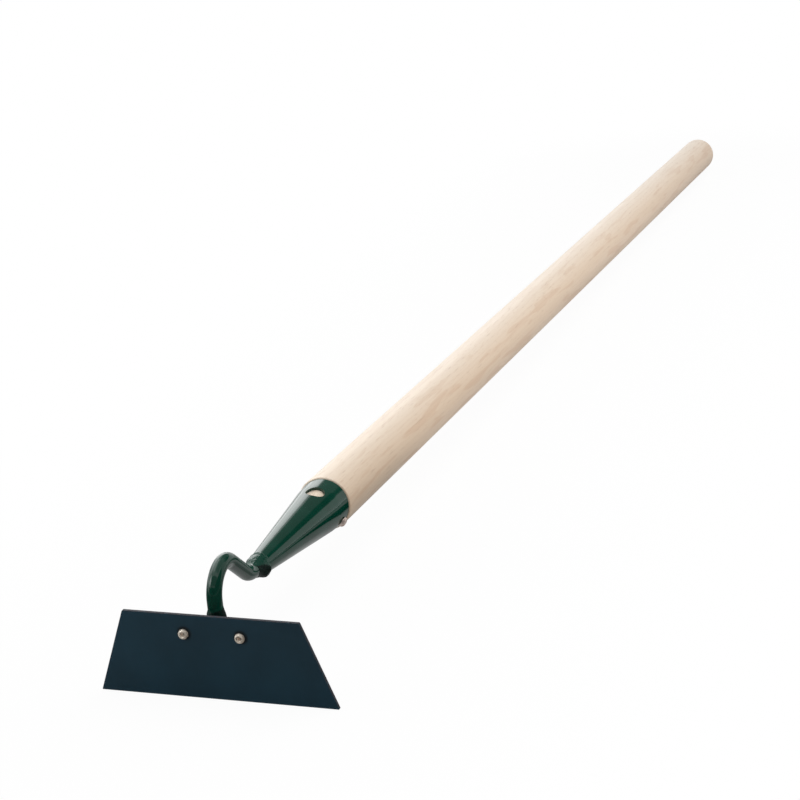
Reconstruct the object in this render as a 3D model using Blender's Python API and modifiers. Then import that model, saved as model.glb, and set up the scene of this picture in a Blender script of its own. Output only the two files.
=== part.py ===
"""Garden hoe: a riveted steel blade on a swan neck, a rolled socket and a wooden handle.

Every piece is modelled at its real size in metres. The hoe is drawn along its handle: +Y runs
from the socket's mouth to the handle's tip, +X is the blade's right and +Z is away from the
cutting edge. It is then laid on flat ground, on its cutting edge and the tip of its handle.
"""

import math

import bmesh
import bpy
from mathutils import Vector

CLEARANCE = 0.0003

# Wooden handle
HANDLE_DIAMETER = 0.037
HANDLE_REACH = 1.355
SHOULDER_CHAMFER = 0.0012
NOSE_CHAMFER = 0.0020

# Socket, rolled from sheet into a cone that ends in a straighter collar
SOCKET_LENGTH = 0.119
SHEET = 0.0018
MOUTH_BORE = 0.0316
COLLAR_LENGTH = 0.014
COLLAR_FLARE = 0.0015
SEAM_GAP = 0.0010
VENT_DIAMETER = 0.0128
VENT_FROM_MOUTH = 0.0212
VENT_TURN = math.radians(9)

# Swan neck, bent from round bar
ROD_DIAMETER = 0.0095
CREST_BEND = 0.017
DIP_BEND = 0.020
DROP_ANGLE = math.radians(35)
DROP_RUN = 0.0259
BARE_TAIL = 0.0104
TAIL_INSERT = 0.030
NOSE_GAP = 0.005
LEG_RUN = 0.0051
FOOT_INSERT = 0.021

# Blade
BLADE_EDGE_WIDTH = 0.152
BLADE_TOP_WIDTH = 0.112
BLADE_HEIGHT = 0.0545
BLADE_THICKNESS = 0.0020
BLADE_CORNER = 0.0006
BLADE_LEAN = math.radians(5.5)
GRIND_WIDTH = 0.006
EDGE_THICKNESS = 0.0005

# Rivets through the blade and the foot plate
RIVET_SPACING = 0.0358
RIVET_BELOW_TOP = 0.0123
RIVET_SHANK = 0.0044
RIVET_HEAD = 0.0070
RIVET_HEAD_HEIGHT = 0.0018
RIVET_DISH = 0.0036
RIVET_DISH_DEPTH = 0.0003
RIVET_TAIL = 0.0080
RIVET_TAIL_HEIGHT = 0.0022

# Foot plate behind the blade, centred on the rivets
PLATE_MARGIN = 0.0101
PLATE_HEIGHT = 0.020
PLATE_THICKNESS = 0.0030
PLATE_CORNER = 0.005

# Screw through the socket into the handle
SCREW_HEAD = 0.0080
SCREW_HEAD_HEIGHT = 0.0026
SCREW_SHANK = 0.0040
SCREW_LENGTH = 0.0150
SCREW_FROM_MOUTH = 0.0080
SCREW_TURN = math.radians(124)

# Weld bead round the neck, heavier on the side where the weld ended
NECK_BEAD_LAP = 0.0015
NECK_BEAD_REACH = 0.0135
NECK_BEAD_RISE = 0.0005
NECK_BEAD_RIPPLE = 0.00012
NECK_BEAD_HEAVY_TURN = math.radians(150)
NECK_BEAD_HEAVY_LAP = 0.0020
NECK_BEAD_HEAVY_RISE = 0.0012
NECK_BEAD_HEAVY_PULL = 0.0060

# Weld bead at the rod's foot
FOOT_BEAD_LEG = 0.0011
FOOT_BEAD_ABOVE_TOP = 0.0003
FOOT_BEAD_ON_PLATE = 0.0015
FOOT_BEAD_PAST_MIDDLE = 0.0010
FEATHER = 0.0001

# Fineness of the round shapes
ROUND_STEPS = 48
SMALL_STEPS = 28
SHEET_STEPS = 60
SMOOTH_ANGLE = math.radians(30)

ROD_RADIUS = ROD_DIAMETER / 2
NOSE_LENGTH = SOCKET_LENGTH - TAIL_INSERT - NOSE_GAP
PLATE_WIDTH = RIVET_SPACING + 2 * PLATE_MARGIN
PLATE_BELOW_TOP = RIVET_BELOW_TOP - PLATE_HEIGHT / 2
PLATE_FRONT = BLADE_THICKNESS / 2 + CLEARANCE
PLATE_BACK = PLATE_FRONT + PLATE_THICKNESS
LEG_DEPTH = PLATE_BACK + CLEARANCE + ROD_RADIUS


# Scene and materials

def clear_scene():
    """Remove whatever objects the scene holds."""
    for thing in list(bpy.data.objects):
        bpy.data.objects.remove(thing)


def new_collection(name):
    """Return a new collection linked to the scene."""
    collection = bpy.data.collections.new(name)
    bpy.context.scene.collection.children.link(collection)
    return collection


def finish(name, colour, roughness, metallic=0.0):
    """Return a Principled material."""
    material = bpy.data.materials.new(name)
    material.use_nodes = True
    shader = material.node_tree.nodes["Principled BSDF"]
    shader.inputs["Base Color"].default_value = (*colour, 1.0)
    shader.inputs["Roughness"].default_value = roughness
    shader.inputs["Metallic"].default_value = metallic
    return material


# Ways of making a piece

def place(name, data, material, parent, location=(0, 0, 0), rotation=(0, 0, 0)):
    """Put a piece in the hoe's collection, on its parent."""
    thing = bpy.data.objects.new(name, data)
    PARTS.objects.link(thing)
    data.materials.append(material)
    thing.parent = parent
    thing.location = location
    thing.rotation_euler = rotation
    return thing


def guide(name, parent, location, rotation):
    """Add an empty that other pieces hang on."""
    empty = bpy.data.objects.new(name, None)
    PARTS.objects.link(empty)
    empty.parent = parent
    empty.location = location
    empty.rotation_euler = rotation
    return empty


def mesh_from(name, shape):
    """Turn a bmesh into a smooth shaded mesh and free it."""
    bmesh.ops.recalc_face_normals(shape, faces=shape.faces)
    mesh = bpy.data.meshes.new(name)
    shape.to_mesh(mesh)
    shape.free()
    mesh.shade_smooth()
    mesh.set_sharp_from_angle(angle=SMOOTH_ANGLE)
    return mesh


def turned(name, profile, material, parent, location=(0, 0, 0), rotation=(0, 0, 0), steps=SMALL_STEPS):
    """Turn (radius, height) points about the Z axis. They run down the outer side, top to bottom."""
    mesh = bpy.data.meshes.new(name)
    points = [(radius, 0.0, height) for radius, height in profile]
    edges = [(index, index + 1) for index in range(len(points) - 1)]
    mesh.from_pydata(points, edges, [])
    thing = place(name, mesh, material, parent, location, rotation)
    screw = thing.modifiers.new("turn", "SCREW")
    screw.steps = steps
    screw.render_steps = steps
    screw.use_merge_vertices = True
    screw.merge_threshold = 0.00001
    screw.use_smooth_shade = True
    return thing


def dome(inner, outer, height, steps):
    """Return the quarter round points from a dome's flat top out to its rim, as (radius, height)."""
    points = []
    for step in range(steps + 1):
        angle = math.pi / 2 * step / steps
        points.append((inner + (outer - inner) * math.sin(angle), height * math.cos(angle)))
    return points


def box_shape(width, depth, height, centre=(0, 0, 0)):
    """Return a bmesh box of a given size about a centre."""
    shape = bmesh.new()
    bmesh.ops.create_cube(shape, size=1.0)
    for vert in shape.verts:
        vert.co = Vector((vert.co.x * width, vert.co.y * depth, vert.co.z * height)) + Vector(centre)
    return shape


def round_corners(shape, radius):
    """Round the four corner edges that run through a plate's thickness, along Y."""
    edges = [edge for edge in shape.edges
             if abs(edge.verts[0].co.y - edge.verts[1].co.y) > CLEARANCE]
    bmesh.ops.bevel(shape, geom=edges, offset=radius, segments=4, profile=0.5, affect="EDGES")


def cutter(name, shape, parent, location=(0, 0, 0), rotation=(0, 0, 0)):
    """Keep a hidden wire object that other pieces are cut with."""
    bmesh.ops.recalc_face_normals(shape, faces=shape.faces)
    mesh = bpy.data.meshes.new(name)
    shape.to_mesh(mesh)
    shape.free()
    thing = bpy.data.objects.new(name, mesh)
    CUTTERS.objects.link(thing)
    thing.parent = parent
    thing.location = location
    thing.rotation_euler = rotation
    thing.hide_render = True
    thing.display_type = "WIRE"
    return thing


def round_cutter(name, radius, length, parent, location, rotation=(0, 0, 0)):
    """Keep a hidden cylinder, centred on its location along its own Z axis."""
    shape = bmesh.new()
    bmesh.ops.create_cone(shape, cap_ends=True, segments=SMALL_STEPS, radius1=radius, radius2=radius,
                          depth=length)
    return cutter(name, shape, parent, location, rotation)


def cut(thing, tool):
    """Take a cutter's volume out of a piece."""
    boolean = thing.modifiers.new("cut_" + tool.name, "BOOLEAN")
    boolean.operation = "DIFFERENCE"
    boolean.object = tool


# Where the pieces go, in the handle's own axes

def socket_bore(from_mouth):
    """Return the socket's inner radius at a distance from its mouth."""
    collar_radius = (MOUTH_BORE - COLLAR_FLARE) / 2
    if from_mouth < COLLAR_LENGTH:
        return MOUTH_BORE / 2 - COLLAR_FLARE / 2 * max(from_mouth, 0.0) / COLLAR_LENGTH
    share = (from_mouth - COLLAR_LENGTH) / (SOCKET_LENGTH - COLLAR_LENGTH)
    return collar_radius + (ROD_RADIUS + CLEARANCE - collar_radius) * share


def socket_skin(from_mouth):
    """Return the radius just clear of the socket's outer surface."""
    drop = socket_bore(COLLAR_LENGTH) - socket_bore(SOCKET_LENGTH)
    cone_angle = math.atan2(drop, SOCKET_LENGTH - COLLAR_LENGTH)
    return socket_bore(from_mouth) + SHEET / math.cos(cone_angle) + CLEARANCE


def around(turn, radius, from_mouth):
    """Return the point at a turn from the top, a radius and a distance from the mouth."""
    return Vector((radius * math.sin(turn), -from_mouth, radius * math.cos(turn)))


def along_rod(from_mouth):
    """Return the rod's centre and its upward direction, up to where its crest starts."""
    bend_start = SOCKET_LENGTH + BARE_TAIL
    past_bend = from_mouth - bend_start
    angle = min(max(past_bend, 0.0) / DIP_BEND, DROP_ANGLE)
    forward = Vector((0, -math.cos(angle), math.sin(angle)))
    up = Vector((0, math.sin(angle), math.cos(angle)))
    centre = Vector((0, -bend_start - DIP_BEND * math.sin(angle), DIP_BEND * (1 - math.cos(angle))))
    return centre + forward * (past_bend - angle * DIP_BEND), up


def neck_path():
    """Return the swan neck's centre line, from its tail in the socket to its foot."""
    bend_start = SOCKET_LENGTH + BARE_TAIL
    bend_length = DROP_ANGLE * DIP_BEND
    bend_steps = 8
    stops = [SOCKET_LENGTH - TAIL_INSERT, SOCKET_LENGTH]
    stops += [bend_start + bend_length * step / bend_steps for step in range(bend_steps + 1)]
    points = [along_rod(stop)[0] for stop in stops]
    crest_start, up = along_rod(bend_start + bend_length + DROP_RUN)
    centre = crest_start - up * CREST_BEND
    crest_steps = 24
    last_angle = -math.pi / 2 - BLADE_LEAN
    for step in range(crest_steps + 1):
        angle = DROP_ANGLE + (last_angle - DROP_ANGLE) * step / crest_steps
        points.append(centre + Vector((0, math.sin(angle), math.cos(angle))) * CREST_BEND)
    points.append(points[-1] + down_the_blade() * (LEG_RUN + FOOT_INSERT))
    return points


def down_the_blade():
    """Return the direction from the blade's top edge to its cutting edge."""
    return Vector((0, math.sin(BLADE_LEAN), -math.cos(BLADE_LEAN)))


def out_of_the_blade():
    """Return the direction that the blade's front faces."""
    return Vector((0, -math.cos(BLADE_LEAN), -math.sin(BLADE_LEAN)))


def blade_origin(path):
    """Return the middle of the blade's top edge, in front of the rod's leg."""
    foot = path[-1]
    return foot - down_the_blade() * FOOT_INSERT + out_of_the_blade() * LEG_DEPTH


def resting_pitch(blade_top):
    """Return the angle between the handle and flat ground under the edge and the tip."""
    edge = blade_top + down_the_blade() * BLADE_HEIGHT + out_of_the_blade() * BLADE_THICKNESS / 2
    end_radius = HANDLE_DIAMETER / 2
    reach = Vector((0, HANDLE_REACH - end_radius, 0)) - edge
    return math.atan2(reach.z, reach.y) - math.asin(end_radius / reach.length)


# The pieces

def make_handle(axis, wood):
    """Turn the handle: a round tip, a straight shaft, a shoulder and the nose in the socket."""
    radius = HANDLE_DIAMETER / 2
    profile = [(across, HANDLE_REACH - radius + up) for across, up in dome(0.0, radius, radius, 10)]
    profile.append((radius, CLEARANCE + SHOULDER_CHAMFER))
    profile.append((radius - SHOULDER_CHAMFER, CLEARANCE))
    for from_mouth in (-CLEARANCE, COLLAR_LENGTH, NOSE_LENGTH - NOSE_CHAMFER):
        profile.append((socket_bore(from_mouth) - CLEARANCE, -from_mouth))
    profile.append((socket_bore(NOSE_LENGTH) - CLEARANCE - NOSE_CHAMFER, -NOSE_LENGTH))
    profile.append((0.0, -NOSE_LENGTH))
    return turned("handle", profile, wood, axis, rotation=(-math.pi / 2, 0, 0), steps=ROUND_STEPS)


def make_socket(axis, paint):
    """Roll a flat sheet into the cone and collar, with its long seam underneath."""
    stations = [0.0, COLLAR_LENGTH / 2, COLLAR_LENGTH, (COLLAR_LENGTH + SOCKET_LENGTH) / 2, SOCKET_LENGTH]
    sheet = bmesh.new()
    bmesh.ops.create_grid(sheet, x_segments=SHEET_STEPS, y_segments=len(stations) - 1, size=0.5)
    for vert in sheet.verts:
        from_mouth = stations[round((vert.co.y + 0.5) * (len(stations) - 1))]
        bore = socket_bore(from_mouth)
        half_seam = math.asin(SEAM_GAP / 2 / bore)
        turn = vert.co.x * (2 * math.pi - 2 * half_seam)
        vert.co = around(turn, bore, from_mouth)
    mesh = mesh_from("socket", sheet)
    socket = place("socket", mesh, paint, axis)
    wall = socket.modifiers.new("sheet", "SOLIDIFY")
    wall.thickness = SHEET
    wall.offset = outward_offset(mesh)
    wall.use_even_offset = True
    return socket


def outward_offset(mesh):
    """Return the Solidify offset that grows a rolled sheet away from its axis."""
    face = mesh.polygons[0]
    away = Vector((face.center.x, 0, face.center.z))
    return 1.0 if face.normal.dot(away) > 0 else -1.0


def make_rod(axis, path, paint):
    """Bend the round bar along the swan neck's centre line."""
    curve = bpy.data.curves.new("gooseneck_rod", "CURVE")
    curve.dimensions = "3D"
    curve.bevel_depth = ROD_RADIUS
    curve.bevel_resolution = 10
    curve.use_fill_caps = True
    spline = curve.splines.new("POLY")
    spline.points.add(len(path) - 1)
    for slot, point in zip(spline.points, path):
        slot.co = (*point, 1.0)
    return place("gooseneck_rod", curve, paint, axis)


def neck_bead_section(turn):
    """Return the bead's cross-section at one turn from the top, as (radius, from mouth) points."""
    heavy = 0.5 + 0.5 * math.cos(turn - NECK_BEAD_HEAVY_TURN)
    lap = SOCKET_LENGTH - NECK_BEAD_LAP - NECK_BEAD_HEAVY_LAP * heavy
    toe = SOCKET_LENGTH + NECK_BEAD_REACH - NECK_BEAD_HEAVY_PULL * heavy
    face = SOCKET_LENGTH + CLEARANCE
    start = socket_skin(lap)
    bore = ROD_RADIUS + CLEARANCE
    section = [(start, lap)]
    crown_steps = 10
    for step in range(crown_steps + 1):
        share = step / crown_steps
        swell = math.sin(math.pi * share)
        rise = (NECK_BEAD_RISE + NECK_BEAD_HEAVY_RISE * heavy) * swell ** 0.8
        ripple = NECK_BEAD_RIPPLE * math.sin(3 * turn + 9 * share) * swell
        radius = start + (bore - start) * share + FEATHER + rise + ripple
        section.append((radius, lap + (toe - lap) * share))
    bore_steps = 4
    for step in range(bore_steps + 1):
        section.append((bore, toe + (face - toe) * step / bore_steps))
    section.append((socket_skin(SOCKET_LENGTH), face))
    return section


def on_the_rod(turn, radius, from_mouth):
    """Return a point round the neck that follows the rod where it starts to bend."""
    centre, up = along_rod(from_mouth)
    return centre + Vector((radius * math.sin(turn), 0, 0)) + up * radius * math.cos(turn)


def make_neck_bead(axis, paint):
    """Loft the ring of weld that closes the socket's narrow end on the rod."""
    bead = bmesh.new()
    rings = []
    for step in range(ROUND_STEPS):
        turn = 2 * math.pi * step / ROUND_STEPS
        section = neck_bead_section(turn)
        rings.append([bead.verts.new(on_the_rod(turn, radius, along)) for radius, along in section])
    for index, ring in enumerate(rings):
        following = rings[(index + 1) % len(rings)]
        for corner in range(len(ring)):
            after = (corner + 1) % len(ring)
            bead.faces.new((ring[corner], ring[after], following[after], following[corner]))
    return place("neck_weld", mesh_from("neck_weld", bead), paint, axis)


def make_blade(plane, paint):
    """Cut the blade from flat steel, wider at the edge, and grind its back to the edge."""
    shape = box_shape(BLADE_EDGE_WIDTH, BLADE_THICKNESS, BLADE_HEIGHT, (0, 0, -BLADE_HEIGHT / 2))
    for vert in shape.verts:
        if vert.co.z > -BLADE_HEIGHT / 2:
            vert.co.x = math.copysign(BLADE_TOP_WIDTH / 2, vert.co.x)
    round_corners(shape, BLADE_CORNER)
    blade = place("blade", mesh_from("blade", shape), paint, plane)
    slope = math.atan2(BLADE_THICKNESS - EDGE_THICKNESS, GRIND_WIDTH)
    depth = BLADE_THICKNESS * 5
    wedge = box_shape(BLADE_EDGE_WIDTH * 1.2, depth, GRIND_WIDTH * 4, (0, depth / 2, 0))
    edge_back = (0, EDGE_THICKNESS - BLADE_THICKNESS / 2, -BLADE_HEIGHT)
    cut(blade, cutter("grind", wedge, plane, edge_back, (-slope, 0, 0)))
    return blade


def make_plate(plane, paint):
    """Cut the foot plate that carries the blade on the rod."""
    middle = (0, (PLATE_FRONT + PLATE_BACK) / 2, -RIVET_BELOW_TOP)
    shape = box_shape(PLATE_WIDTH, PLATE_THICKNESS, PLATE_HEIGHT, middle)
    round_corners(shape, PLATE_CORNER)
    return place("foot_plate", mesh_from("foot_plate", shape), paint, plane)


def make_rivet(name, side, plane, steel):
    """Turn a rivet: a domed and dished head in front, the shank and its formed end behind."""
    front = BLADE_THICKNESS / 2 + CLEARANCE
    back = PLATE_BACK + CLEARANCE
    shank = RIVET_SHANK / 2
    profile = [(0.0, front + RIVET_HEAD_HEIGHT - RIVET_DISH_DEPTH)]
    for across, up in dome(RIVET_DISH / 2, RIVET_HEAD / 2, RIVET_HEAD_HEIGHT, 4):
        profile.append((across, front + up))
    profile += [(shank, front), (shank, -back)]
    for across, up in reversed(dome(0.0, RIVET_TAIL / 2, RIVET_TAIL_HEIGHT, 4)):
        profile.append((across, -back - up))
    place_at = (side * RIVET_SPACING / 2, 0, -RIVET_BELOW_TOP)
    return turned(name, profile, steel, plane, place_at, (math.pi / 2, 0, 0))


def make_foot_bead(plane, paint):
    """Lay the weld that joins the rod's leg to the foot plate, in front and down both sides."""
    foot = -FOOT_INSERT + CLEARANCE
    thin = ROD_RADIUS + CLEARANCE + FEATHER
    wide = ROD_RADIUS + CLEARANCE + FOOT_BEAD_LEG
    full = -PLATE_BELOW_TOP - FOOT_BEAD_ON_PLATE
    profile = [(0.0, FOOT_BEAD_ABOVE_TOP)]
    flare_steps = 6
    for step in range(flare_steps + 1):
        share = step / flare_steps
        height = FOOT_BEAD_ABOVE_TOP + (full - FOOT_BEAD_ABOVE_TOP) * share
        profile.append((thin + (wide - thin) * share ** 2, height))
    profile += [(wide, foot + FOOT_BEAD_LEG), (wide - FOOT_BEAD_LEG / 2, foot), (0.0, foot)]
    bead = turned("foot_weld", profile, paint, plane, (0, LEG_DEPTH, 0), steps=ROUND_STEPS)

    reach = wide * 2
    height = 4 * FOOT_INSERT
    rod_air = round_cutter("foot_rod_air", ROD_RADIUS + CLEARANCE, height, plane, (0, LEG_DEPTH, 0))
    slab_top = -PLATE_BELOW_TOP + CLEARANCE
    slab_back = (0, PLATE_BACK + CLEARANCE - reach / 2, slab_top - height / 2)
    blade_back = (0, PLATE_FRONT - reach / 2, 0)
    rear_front = (0, LEG_DEPTH + FOOT_BEAD_PAST_MIDDLE + reach / 2, 0)
    cut(bead, rod_air)
    cut(bead, cutter("foot_plate_air", box_shape(reach * 2, reach, height, slab_back), plane))
    cut(bead, cutter("foot_rear_air", box_shape(reach * 2, reach, height, rear_front), plane))
    if LEG_DEPTH - wide < PLATE_FRONT:
        cut(bead, cutter("foot_blade_air", box_shape(reach * 2, reach, height, blade_back), plane))
    return bead


def make_screw(axis, steel):
    """Turn the screw that holds the socket on the handle."""
    shank = SCREW_SHANK / 2
    profile = dome(0.0, SCREW_HEAD / 2, SCREW_HEAD_HEIGHT, 6)
    profile += [(shank, 0.0), (shank, -SCREW_LENGTH + SCREW_SHANK), (0.0, -SCREW_LENGTH)]
    spot = around(SCREW_TURN, screw_seat(), SCREW_FROM_MOUTH)
    return turned("handle_screw", profile, steel, axis, spot, (0, SCREW_TURN, 0))


def screw_seat():
    """Return the radius of the screw head's underside, just clear of the collar all round."""
    return socket_skin(SCREW_FROM_MOUTH - SCREW_HEAD / 2)


def drill_for_screw(axis, things):
    """Drill the socket and the handle for the screw's shank."""
    length = SCREW_LENGTH + CLEARANCE
    spot = around(SCREW_TURN, screw_seat() - length / 2, SCREW_FROM_MOUTH)
    drill = round_cutter("screw_drill", SCREW_SHANK / 2 + CLEARANCE, length, axis, spot, (0, SCREW_TURN, 0))
    for thing in things:
        cut(thing, drill)


def punch_vent(axis, socket):
    """Punch the round hole in the socket that shows whether the handle is home."""
    wall = socket_skin(VENT_FROM_MOUTH)
    spot = around(VENT_TURN, wall, VENT_FROM_MOUTH)
    cut(socket, round_cutter("vent_punch", VENT_DIAMETER / 2, wall, axis, spot, (0, VENT_TURN, 0)))


def drill_for_rivets(plane, things):
    """Drill the blade and the foot plate for both rivets."""
    length = 4 * (BLADE_THICKNESS + PLATE_THICKNESS)
    for side, name in ((-1, "rivet_drill_left"), (1, "rivet_drill_right")):
        spot = (side * RIVET_SPACING / 2, 0, -RIVET_BELOW_TOP)
        drill = round_cutter(name, RIVET_SHANK / 2 + CLEARANCE, length, plane, spot, (math.pi / 2, 0, 0))
        for thing in things:
            cut(thing, drill)


def settle(axis, parts):
    """Move the laid hoe so that its footprint's centre on the ground is the origin."""
    bpy.context.view_layer.update()
    depsgraph = bpy.context.evaluated_depsgraph_get()
    corners = []
    for part in parts:
        posed = part.evaluated_get(depsgraph)
        mesh = posed.to_mesh()
        corners += [posed.matrix_world @ vert.co for vert in mesh.vertices]
        posed.to_mesh_clear()
    middle_y = (min(point.y for point in corners) + max(point.y for point in corners)) / 2
    axis.location = (0, -middle_y, -min(point.z for point in corners))


def build():
    """Make every piece of the hoe and lay it down."""
    wood = finish("ash_wood", (0.72, 0.56, 0.40), 0.55)
    green = finish("green_paint", (0.010, 0.060, 0.045), 0.16)
    blue = finish("blue_black_paint", (0.012, 0.024, 0.032), 0.42)
    zinc = finish("zinc_plated_steel", (0.66, 0.62, 0.56), 0.30, 0.9)

    path = neck_path()
    blade_top = blade_origin(path)
    axis = guide("handle_axis", None, (0, 0, 0), (-resting_pitch(blade_top), 0, 0))
    plane = guide("blade_plane", axis, blade_top, (BLADE_LEAN, 0, 0))

    handle = make_handle(axis, wood)
    socket = make_socket(axis, green)
    rod = make_rod(axis, path, green)
    neck_bead = make_neck_bead(axis, green)
    blade = make_blade(plane, blue)
    plate = make_plate(plane, green)
    foot_bead = make_foot_bead(plane, green)
    rivets = [make_rivet("rivet_left", -1, plane, zinc), make_rivet("rivet_right", 1, plane, zinc)]
    screw = make_screw(axis, zinc)

    punch_vent(axis, socket)
    drill_for_screw(axis, (socket, handle))
    drill_for_rivets(plane, (blade, plate))
    settle(axis, [handle, socket, rod, neck_bead, blade, plate, foot_bead, *rivets, screw])


clear_scene()
PARTS = new_collection("garden_hoe")
CUTTERS = new_collection("cutters")
build()
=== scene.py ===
"""The looks of a garden hoe: riveted blade, swan neck, rolled socket and wooden handle.

Every piece is modelled at its real size in metres and stands for one of the solids. The long
pieces are drawn in the handle's own axes: +Y runs from the socket's mouth to the tip, +X is the
blade's right and +Z is away from the cutting edge. The blade's pieces are drawn in the blade's
axes: +Z runs up the blade from its top edge and +Y is behind it.
"""

import logging
import math
from dataclasses import dataclass
from enum import Enum
from typing import Callable, Sequence

import bmesh
import bpy
from mathutils import Matrix, Quaternion, Vector


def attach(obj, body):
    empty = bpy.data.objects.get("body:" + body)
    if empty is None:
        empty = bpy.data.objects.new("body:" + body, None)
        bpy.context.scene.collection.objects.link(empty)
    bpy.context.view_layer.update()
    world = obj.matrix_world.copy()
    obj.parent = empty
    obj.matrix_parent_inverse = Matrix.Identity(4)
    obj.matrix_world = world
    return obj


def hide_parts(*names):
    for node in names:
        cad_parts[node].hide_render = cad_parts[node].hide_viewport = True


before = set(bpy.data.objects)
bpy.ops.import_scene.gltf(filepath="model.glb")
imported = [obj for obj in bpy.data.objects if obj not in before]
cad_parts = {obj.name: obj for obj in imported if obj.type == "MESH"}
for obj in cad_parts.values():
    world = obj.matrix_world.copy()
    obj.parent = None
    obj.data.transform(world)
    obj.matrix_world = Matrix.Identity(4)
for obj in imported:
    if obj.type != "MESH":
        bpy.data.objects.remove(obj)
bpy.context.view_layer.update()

LOG = logging.getLogger("garden_hoe")

Colour = tuple[float, float, float]
Point = tuple[float, float, float]
Span = tuple[float, float]
Station = tuple[float, float]
Lump = tuple[float, float, float, float]

WELD_THRESHOLD = 0.000002
DRILL_SIDES = 64

AXIS_ORIGIN = (0.0, -0.577309, 0.052467)
AXIS_PITCH = math.radians(-1.45634)
BLADE_ORIGIN = (0.0, -0.774901, 0.054435)
BLADE_PITCH = math.radians(4.04366)
BLADE_EDGE_WIDTH = 0.152
BLADE_TOP_WIDTH = 0.112
BLADE_HEIGHT = 0.0545
RIVET_SPACING = 0.0358
RIVET_DROP = 0.0126

AXIS = Matrix.Translation(AXIS_ORIGIN) @ Matrix.Rotation(AXIS_PITCH, 4, "X")
PLANE = Matrix.Translation(BLADE_ORIGIN) @ Matrix.Rotation(BLADE_PITCH, 4, "X")


class Slot(Enum):
    """The record's finishes."""

    WOOD = "ash_wood"
    GREEN = "green_paint"
    BLUE = "blue_black_paint"
    ZINC = "zinc_plated_steel"


class Element(Enum):
    """What a selection picks."""

    CORNER = "VERT"
    EDGE = "EDGE"
    FACE = "FACE"


class Facing(Enum):
    """How a studio panel is turned."""

    UP = (0.0, 0.0, 0.0)
    ALONG = (math.pi / 2, 0.0, 0.0)
    ACROSS = (math.pi / 2, 0.0, math.pi / 2)
    SLOPED = (0.0, math.radians(-35), 0.0)
    STEEP = (0.0, math.radians(-50), 0.0)


# Shader maths

class Term:
    """A shader value that Python's operators work on."""

    def __init__(self, graph: "Graph", socket: bpy.types.NodeSocket) -> None:
        """Wrap a node's output socket."""
        self.graph = graph
        self.socket = socket

    def math(self, operation: str, *operands: "Term | float") -> "Term":
        """Return a Math node's result from all its operands."""
        return self.graph.add("ShaderNodeMath", {"operation": operation}, dict(enumerate(operands)))

    def __add__(self, other: "Term | float") -> "Term":
        """Return the sum."""
        return self.math("ADD", self, other)

    __radd__ = __add__

    def __sub__(self, other: "Term | float") -> "Term":
        """Return the difference."""
        return self.math("SUBTRACT", self, other)

    def __rsub__(self, other: float) -> "Term":
        """Return the number less this value."""
        return self.math("SUBTRACT", other, self)

    def __mul__(self, other: "Term | float") -> "Term":
        """Return the product."""
        return self.math("MULTIPLY", self, other)

    __rmul__ = __mul__

    def __pow__(self, other: float) -> "Term":
        """Return this value to a power."""
        return self.math("POWER", self, other)

    def lower(self, other: "Term | float") -> "Term":
        """Return the lower of two values."""
        return self.math("MINIMUM", self, other)

    def higher(self, other: "Term | float") -> "Term":
        """Return the higher of two values."""
        return self.math("MAXIMUM", self, other)

    def size(self) -> "Term":
        """Return the value without its sign."""
        return self.math("ABSOLUTE", self)

    def sign(self) -> "Term":
        """Return -1 or 1 by the value's sign."""
        return self.math("SIGN", self)

    def sine(self) -> "Term":
        """Return the sine of the value in radians."""
        return self.math("SINE", self)

    def between(self, low: float, high: float) -> "Term":
        """Return a smooth step that is 0 at low and 1 at high, which may be under low.

        Args:
            low: the value at which the step starts.
            high: the value at which it ends.

        Returns:
            The step, from 0 to 1.
        """
        if low > high:
            return 1.0 - self.between(high, low)
        sockets = {"Value": self, "From Min": low, "From Max": high}
        return self.graph.add("ShaderNodeMapRange", {"interpolation_type": "SMOOTHSTEP"}, sockets)

    def stretched(self, scale: Point) -> "Term":
        """Return a vector multiplied axis by axis."""
        return self.graph.add("ShaderNodeVectorMath", {"operation": "MULTIPLY"}, {0: self, 1: scale})

    def moved(self, other: "Term | Point") -> "Term":
        """Return the sum of two vectors."""
        return self.graph.add("ShaderNodeVectorMath", {"operation": "ADD"}, {0: self, 1: other})

    def split(self) -> tuple["Term", "Term", "Term"]:
        """Return a vector's three parts."""
        first = self.graph.add("ShaderNodeSeparateXYZ", {}, {0: self})
        return tuple(Term(self.graph, socket) for socket in first.socket.node.outputs)

    def other(self, output: str) -> "Term":
        """Return another output of the same node."""
        return Term(self.graph, self.socket.node.outputs[output])


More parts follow.
